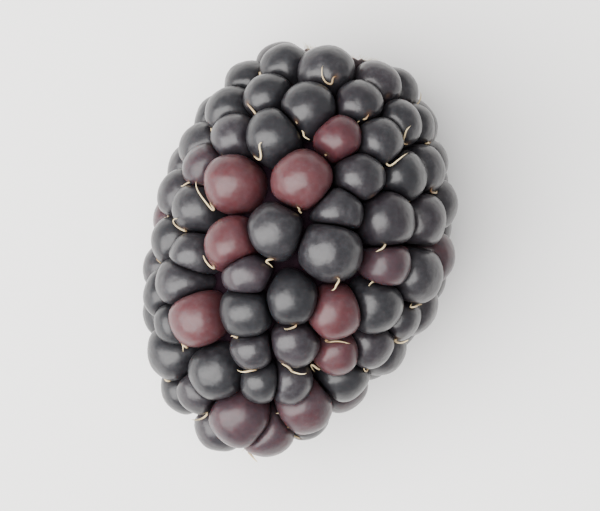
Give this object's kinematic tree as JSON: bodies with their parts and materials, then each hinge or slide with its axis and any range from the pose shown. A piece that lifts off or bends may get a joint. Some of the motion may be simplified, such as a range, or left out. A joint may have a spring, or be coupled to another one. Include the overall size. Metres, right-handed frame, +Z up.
{
  "type": "bramble berry",
  "caption": "Picked ripe bramble lying on its side, its round drupelets packed over the receptacle, whose pale end shows where it left the stem.",
  "frame": {"origin": "on the surface that the berry rests on, under the middle of its bounding box", "axes": "+Y along the berry from its tip to its stem end, +Z up, +X to the right seen from above with the stem end away"},
  "size_m": [0.026, 0.0356, 0.0258],
  "materials": {
    "ripe_skin": "taut, glossy purple-black skin",
    "unripe_skin": "taut, glossy rose-red skin of the drupelets that ripen last",
    "receptacle_flesh": "matt, fibrous pale flesh, stained purple at its edge",
    "dried_style": "dry, straw-brown threads"
  },
  "bodies": {
    "root": {"drupelets": "ripe_skin", "receptacle": "receptacle_flesh"}
  },
  "joints": []
}
